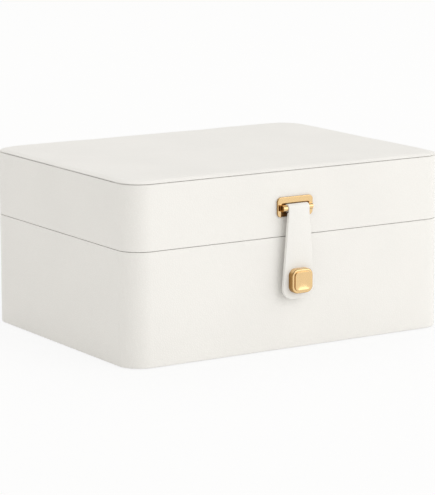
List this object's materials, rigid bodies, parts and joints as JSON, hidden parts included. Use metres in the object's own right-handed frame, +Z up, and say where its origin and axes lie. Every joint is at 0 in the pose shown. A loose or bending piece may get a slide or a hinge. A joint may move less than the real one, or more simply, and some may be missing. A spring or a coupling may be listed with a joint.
{
  "type": "travel jewellery box",
  "caption": "Low rectangular leather-covered jewellery box with rounded corners, a hinged padded lid with a mirror, a strap clasp on the front and a lift-out tray of ring rolls and cells.",
  "frame": {"origin": "on the resting plane under the middle of the walled box", "axes": "+X to the right along the front, front towards -Y, +Z up"},
  "size_m": [0.2, 0.1657, 0.0972],
  "materials": {
    "leather": "white grained leather, satin",
    "board": "raw fibreboard, hidden",
    "felt": "pressed felt",
    "velvet": "short-pile velvet",
    "ribbon": "satin ribbon",
    "foam": "foam, hidden",
    "mirror": "silvered glass",
    "gold": "light gold plating, polished",
    "dark_brass": "dark patina",
    "steel": "nickel plating",
    "magnet": "nickel-plated magnet"
  },
  "bodies": {
    "base": {"base_wrap": "leather", "base_front_board": "board", "base_rear_board": "board", "base_left_board": "board", "base_right_board": "board", "base_corner_posts": "board", "base_floor_board": "board", "base_felt": "felt", "base_lining": "velvet", "base_floor_pad": "velvet", "divider_long": "velvet", "divider_cross": "velvet", "tray_ledges": "velvet", "hinge_leaves_base": "gold", "hinge_pins": "gold", "hinge_screws_base": "gold", "keeper_plate": "steel", "keeper_washer": "steel"},
    "lid": {"lid_wrap": "leather", "lid_front_board": "board", "lid_rear_board": "board", "lid_left_board": "board", "lid_right_board": "board", "lid_corner_posts": "board", "lid_top_board": "board", "lid_top_pad": "foam", "lid_top_cover": "leather", "lid_lining": "velvet", "lid_mirror_panel": "velvet", "mirror": "mirror", "hinge_leaves_lid": "gold", "hinge_screws_lid": "gold", "strap_bracket": "gold", "bracket_back_plate": "dark_brass", "strap_pin": "gold", "bracket_nuts": "steel", "bracket_washers": "steel"},
    "strap": {"strap_front": "leather", "strap_backing": "leather", "clasp_cap": "gold", "clasp_cup": "steel", "clasp_magnet": "magnet", "clasp_rivet": "steel"},
    "tray": {"tray_walls": "velvet", "tray_floor": "velvet", "tray_bed_divider": "velvet", "tray_row_divider": "velvet", "tray_rear_divider": "velvet", "tray_pull_tabs": "ribbon", "ring_roll_1": "velvet", "ring_roll_2": "velvet", "ring_roll_3": "velvet", "ring_roll_4": "velvet", "ring_roll_5": "velvet", "ring_roll_6": "velvet", "ring_roll_7": "velvet"}
  },
  "joints": [
    {"name": "lid_hinge", "type": "hinge", "parent": "base", "child": "lid", "pos_m": [0, 0.0775, 0.061], "axis": [-1, 0, 0], "range_deg": [0, 100]},
    {"name": "strap_swing", "type": "hinge", "parent": "lid", "child": "strap", "pos_m": [0, -0.07775, 0.0763], "axis": [-1, 0, 0], "range_deg": [0, 140]},
    {"name": "tray_lift", "type": "slide", "parent": "base", "child": "tray", "axis": [0, 0, 1], "range_m": [0, 0.015]}
  ]
}
